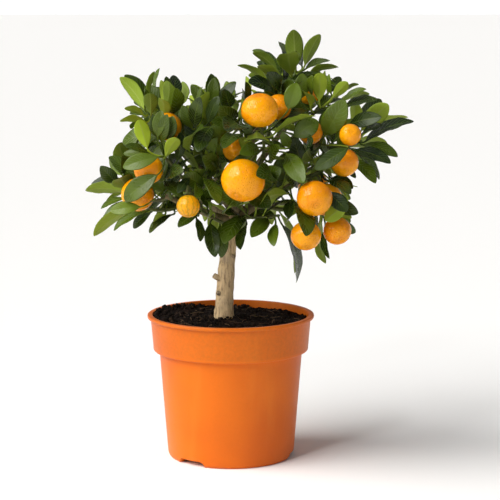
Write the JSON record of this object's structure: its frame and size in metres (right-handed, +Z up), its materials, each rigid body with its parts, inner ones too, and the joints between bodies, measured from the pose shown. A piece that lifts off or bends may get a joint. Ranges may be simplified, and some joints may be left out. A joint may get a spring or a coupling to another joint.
{
  "type": "potted calamondin",
  "caption": "Small ornamental citrus tree with glossy leaves and round orange fruit, growing in a tapered plastic nursery pot.",
  "frame": {"origin": "on the surface that the pot stands on, under the middle of the whole plant's box", "axes": "+Z up along the trunk; -Y is the front, the side with the most fruit; +X to the right seen from the front"},
  "size_m": [0.2486, 0.2, 0.332],
  "materials": {
    "pot_plastic": "satin moulded polypropylene",
    "peat": "moist crumbly peat",
    "bark": "matte grey-tan bark",
    "leaf": "glossy upper side, matte pale underside",
    "ripe_peel": "waxy pored peel",
    "unripe_peel": "waxy pored peel, striped green"
  },
  "bodies": {
    "root": {"fruit_back_centre": "ripe_peel", "fruit_back_left": "ripe_peel", "fruit_back_right": "ripe_peel", "fruit_centre_inner": "ripe_peel", "fruit_far_right": "ripe_peel", "fruit_far_right_small": "ripe_peel", "fruit_front_large": "ripe_peel", "fruit_front_top": "ripe_peel", "fruit_left_lower": "ripe_peel", "fruit_left_top": "ripe_peel", "fruit_left_upper": "ripe_peel", "fruit_low_right_inner": "ripe_peel", "fruit_low_right_outer": "ripe_peel", "fruit_right_behind": "ripe_peel", "fruit_right_front": "ripe_peel", "fruit_right_inner": "ripe_peel", "fruit_top_inner": "ripe_peel", "fruit_top_right": "ripe_peel", "fruit_unripe": "unripe_peel", "pot": "pot_plastic", "shoot_back_centre": "leaf", "shoot_back_centre_left": "leaf", "shoot_back_centre_top": "leaf", "shoot_back_far_left": "leaf", "shoot_back_inner_left": "leaf", "shoot_back_left_low": "leaf", "shoot_back_left_middle": "leaf", "shoot_back_left_top": "leaf", "shoot_back_left_upper": "leaf", "shoot_back_low_centre": "leaf", "shoot_back_low_left": "leaf", "shoot_back_right_low": "leaf", "shoot_back_right_lower": "leaf", "shoot_back_right_upper": "leaf", "shoot_back_top_left": "leaf", "shoot_back_upper_right": "leaf", "shoot_centre_inner_left": "leaf", "shoot_centre_left_upper": "leaf", "shoot_centre_mid": "leaf", "shoot_centre_top": "leaf", "shoot_far_left_lower": "leaf", "shoot_far_left_upper": "leaf", "shoot_front_centre": "leaf", "shoot_front_right": "leaf", "shoot_hero_right": "leaf", "shoot_left_mid_lower": "leaf", "shoot_left_mid_upper": "leaf", "shoot_left_top_inner": "leaf", "shoot_left_top_outer": "leaf", "shoot_lower_centre": "leaf", "shoot_lower_left": "leaf", "shoot_lower_right": "leaf", "shoot_right_lower": "leaf", "shoot_right_upper": "leaf", "shoot_top_centre": "leaf", "shoot_top_left": "leaf", "shoot_upper_right": "leaf", "soil": "peat", "trunk_and_branches": "bark"}
  },
  "joints": []
}
